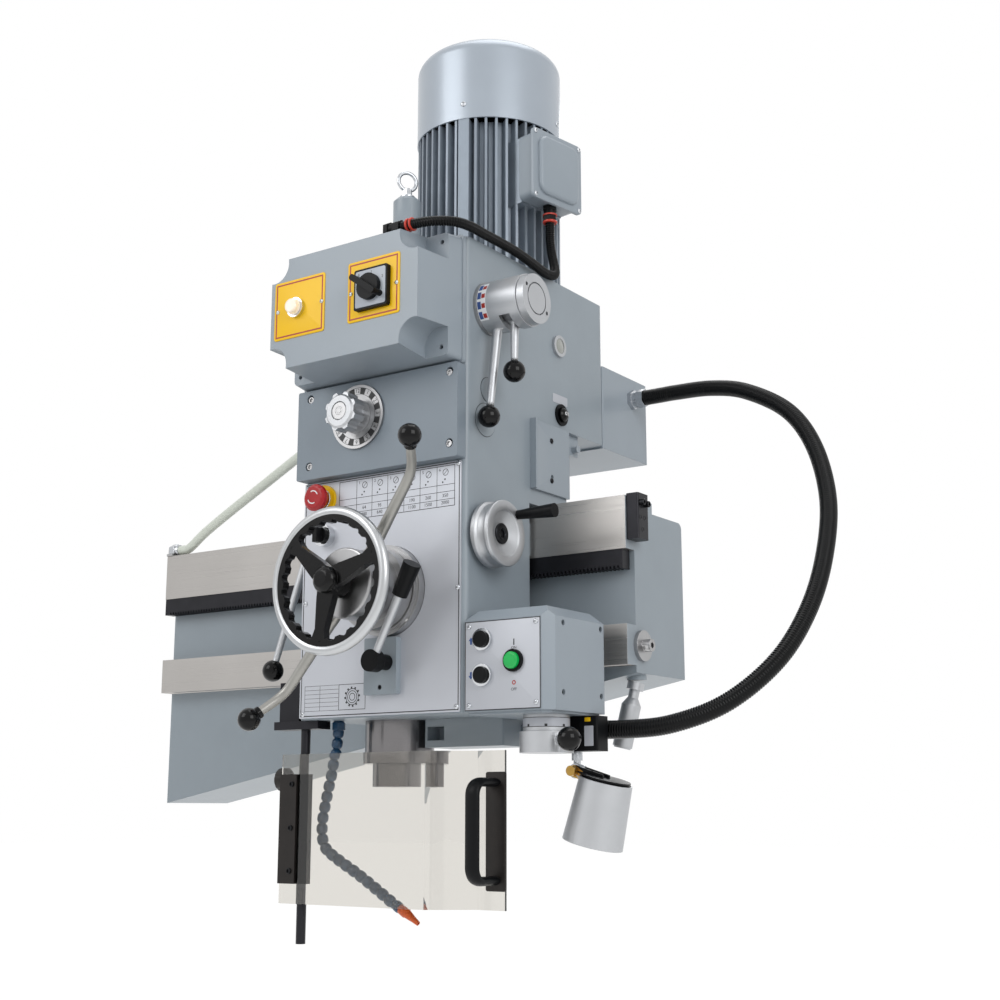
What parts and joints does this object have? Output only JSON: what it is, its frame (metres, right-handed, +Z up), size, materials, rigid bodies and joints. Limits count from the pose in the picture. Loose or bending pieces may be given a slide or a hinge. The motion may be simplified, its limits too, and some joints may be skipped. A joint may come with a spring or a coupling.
{
  "type": "radial arm drill head on its arm",
  "caption": "Radial drill head with quill, gearbox and motor, riding on a cantilever arm with guide ways, handwheel, feed capstan, levers, lamp and guard.",
  "frame": {"origin": "centre of the four tapped holes in the arm's machined root face", "axes": "+X along the arm to its free end, +Y to the back of the machine, away from the operator, +Z up"},
  "size_m": [1.1809, 0.674, 1.448],
  "materials": {
    "casting_paint": "satin painted",
    "cover_paint": "satin",
    "panel_paint": "satin",
    "motor_paint": "satin painted",
    "cowl_paint": "satin",
    "plate_silver": "brushed",
    "black_steel": "black oxide",
    "machined_steel": "turned",
    "chrome_rings": "polished",
    "satin_aluminium": "satin",
    "black_enamel": "gloss",
    "black_plastic": "gloss",
    "red_plastic": "gloss",
    "green_plastic": "gloss",
    "cream_lens": "translucent",
    "nozzle_plastic": "matte",
    "clear_sheet": "clear",
    "black_conduit": "satin",
    "hose_clear": "translucent"
  },
  "bodies": {
    "arm": {"arm_casting": "casting_paint", "traverse_rack": "black_steel", "end_stops": "black_steel", "arm_handle": "satin_aluminium"},
    "head": {"head_casting": "casting_paint", "control_box": "cover_paint", "gear_panel": "panel_paint", "name_plate": "plate_silver", "side_cover": "cover_paint", "rear_box": "cover_paint", "cable_glands": "machined_steel", "lifting_eye": "machined_steel", "sight_glass": "machined_steel", "button_bezels": "chrome_rings", "pilot_lamp": "cream_lens", "scale_rings": "machined_steel", "clamp_bracket": "cover_paint", "motor_frame": "motor_paint", "motor_cowl": "cowl_paint", "terminal_box": "cover_paint", "gear_bearings": "machined_steel", "button_box": "cover_paint", "direction_base": "machined_steel", "lamp_bracket": "black_steel", "guard_bracket": "black_steel", "coolant_nozzle": "nozzle_plastic", "power_hose": "black_conduit", "coolant_hose": "hose_clear", "motor_conduit": "black_conduit"},
    "traverse_wheel": {"handwheel_rim": "satin_aluminium", "handwheel_spider": "black_enamel", "traverse_shaft": "machined_steel"},
    "quill_body": {"quill": "machined_steel", "spindle_bearings": "machined_steel"},
    "spindle_body": {"spindle": "machined_steel"},
    "capstan": {"capstan_hub": "machined_steel", "capstan_levers": "machined_steel"},
    "rotor": {"motor_rotor": "machined_steel"},
    "cluster": {"cluster_gear": "machined_steel"},
    "sleeve": {"sleeve_gear": "machined_steel"},
    "long_lever": {"gear_lever_long": "satin_aluminium"},
    "short_lever": {"gear_lever_short": "satin_aluminium"},
    "fine_feed": {"fine_wheel": "satin_aluminium"},
    "fine_grip": {"fine_wheel_grip": "black_plastic"},
    "feed_dial": {"dial_knob": "satin_aluminium"},
    "speed_switch": {"switch_knob": "black_plastic"},
    "mode_selector": {"selector_knob": "black_plastic"},
    "estop": {"estop_button": "red_plastic"},
    "up_push": {"up_button": "black_plastic"},
    "down_push": {"down_button": "black_plastic"},
    "light_push": {"light_button": "green_plastic"},
    "dome_push": {"dome_button": "black_plastic"},
    "clamp": {"clamp_lever": "machined_steel"},
    "left_lever": {"side_lever": "machined_steel"},
    "direction": {"direction_knob": "satin_aluminium"},
    "lamp_swing": {"lamp_arm": "machined_steel"},
    "lamp": {"lamp_head": "satin_aluminium"},
    "guard_post": {"guard_rod": "black_steel"},
    "guard": {"guard_shield": "clear_sheet", "guard_hinge": "black_steel"}
  },
  "joints": [
    {"name": "head_traverse", "type": "slide", "parent": "arm", "child": "head", "axis": [1, 0, 0], "range_m": [-0.43, 0.12], "deforming": ["power_hose", "coolant_hose"]},
    {"name": "traverse_wheel_spin", "type": "hinge", "parent": "head", "child": "traverse_wheel", "pos_m": [0.642, -0.3275, 0.0851], "axis": [0, -1, 0], "range_deg": [-747.6, 209.3]},
    {"name": "quill_feed", "type": "slide", "parent": "head", "child": "quill_body", "axis": [0, 0, 1], "range_m": [-0.2, 0]},
    {"name": "capstan_spin", "type": "hinge", "parent": "head", "child": "capstan", "pos_m": [0.642, -0.3275, 0.0851], "axis": [0, -1, 0], "range_deg": [-1, 819.5]},
    {"name": "rotor_spin", "type": "hinge", "parent": "head", "child": "rotor", "pos_m": [0.626, 0.0005, 0.6091], "axis": [0, 0, 1], "continuous": true},
    {"name": "cluster_spin", "type": "hinge", "parent": "head", "child": "cluster", "pos_m": [0.6344, -0.0891, 0.4971], "axis": [0, 0, 1], "continuous": true},
    {"name": "sleeve_spin", "type": "hinge", "parent": "head", "child": "sleeve", "pos_m": [0.581, -0.1615, 0.4971], "axis": [0, 0, 1], "continuous": true},
    {"name": "spindle_spin", "type": "hinge", "parent": "quill_body", "child": "spindle_body", "pos_m": [0.581, -0.1615, -0.0909], "axis": [0, 0, 1], "continuous": true},
    {"name": "gear_lever_long_turn", "type": "hinge", "parent": "head", "child": "long_lever", "pos_m": [0.776, -0.2135, 0.4951], "axis": [1, 0, 0], "range_deg": [-25, 25]},
    {"name": "gear_lever_short_turn", "type": "hinge", "parent": "head", "child": "short_lever", "pos_m": [0.776, -0.2135, 0.4951], "axis": [1, 0, 0], "range_deg": [-25, 25]},
    {"name": "fine_wheel_spin", "type": "hinge", "parent": "head", "child": "fine_feed", "pos_m": [0.776, -0.2205, 0.1591], "axis": [1, 0, 0], "continuous": true},
    {"name": "fine_grip_spin", "type": "hinge", "parent": "fine_feed", "child": "fine_grip", "pos_m": [0.826, -0.1922, 0.18945], "axis": [1, 0, 0], "continuous": true},
    {"name": "feed_dial_turn", "type": "hinge", "parent": "head", "child": "feed_dial", "pos_m": [0.596, -0.3075, 0.3441], "axis": [0, -1, 0], "range_deg": [-150, 150]},
    {"name": "speed_switch_turn", "type": "hinge", "parent": "head", "child": "speed_switch", "pos_m": [0.686, -0.3775, 0.5001], "axis": [0, -1, 0], "range_deg": [-90, 90]},
    {"name": "mode_selector_turn", "type": "hinge", "parent": "head", "child": "mode_selector", "pos_m": [0.524, -0.2875, 0.1771], "axis": [0, -1, 0], "range_deg": [-45, 45]},
    {"name": "estop_press", "type": "slide", "parent": "head", "child": "estop", "axis": [0, 1, 0], "range_m": [0, 0.004], "stiffness_N_per_m": 600, "springref_m": -0.001},
    {"name": "up_press", "type": "slide", "parent": "head", "child": "up_push", "axis": [0, 1, 0], "range_m": [0, 0.004], "stiffness_N_per_m": 400, "springref_m": -0.001},
    {"name": "down_press", "type": "slide", "parent": "head", "child": "down_push", "axis": [0, 1, 0], "range_m": [0, 0.004], "stiffness_N_per_m": 400, "springref_m": -0.001},
    {"name": "light_press", "type": "slide", "parent": "head", "child": "light_push", "axis": [0, 1, 0], "range_m": [0, 0.004], "stiffness_N_per_m": 400, "springref_m": -0.001},
    {"name": "dome_press", "type": "slide", "parent": "head", "child": "dome_push", "axis": [-1, 0, 0], "range_m": [0, 0.003], "stiffness_N_per_m": 400, "springref_m": -0.001},
    {"name": "clamp_turn", "type": "hinge", "parent": "head", "child": "clamp", "pos_m": [0.649, -0.2875, -0.0169], "axis": [0, -1, 0], "range_deg": [-50, 0]},
    {"name": "left_lever_turn", "type": "hinge", "parent": "head", "child": "left_lever", "pos_m": [0.464, -0.2375, 0.1711], "axis": [1, 0, 0], "range_deg": [-25, 25]},
    {"name": "direction_turn", "type": "hinge", "parent": "head", "child": "direction", "pos_m": [0.868, -0.2075, -0.1209], "axis": [0, 0, 1], "range_deg": [-60, 30]},
    {"name": "lamp_swivel", "type": "hinge", "parent": "head", "child": "lamp_swing", "pos_m": [0.88, -0.1495, -0.1509], "axis": [0, 0, 1], "range_deg": [-60, 60]},
    {"name": "lamp_tilt", "type": "hinge", "parent": "lamp_swing", "child": "lamp", "pos_m": [0.88, -0.1495, -0.1669], "axis": [0, 1, 0], "range_deg": [-25, 25]},
    {"name": "guard_height", "type": "slide", "parent": "head", "child": "guard_post", "axis": [0, 0, 1], "range_m": [-0.06, 0.03]},
    {"name": "guard_swing", "type": "hinge", "parent": "guard_post", "child": "guard", "pos_m": [0.467, -0.2405, -0.2409], "axis": [0, 0, 1], "range_deg": [-110, 0]}
  ],
  "couplings": [
    {"joint": "traverse_wheel_spin", "follows": "head_traverse", "rad_per_m": 30.303},
    {"joint": "capstan_spin", "follows": "quill_feed", "rad_per_m": -71.429},
    {"joint": "cluster_spin", "follows": "rotor_spin", "ratio": -0.5},
    {"joint": "sleeve_spin", "follows": "rotor_spin", "ratio": 0.31818},
    {"joint": "spindle_spin", "follows": "rotor_spin", "ratio": 0.31818}
  ]
}
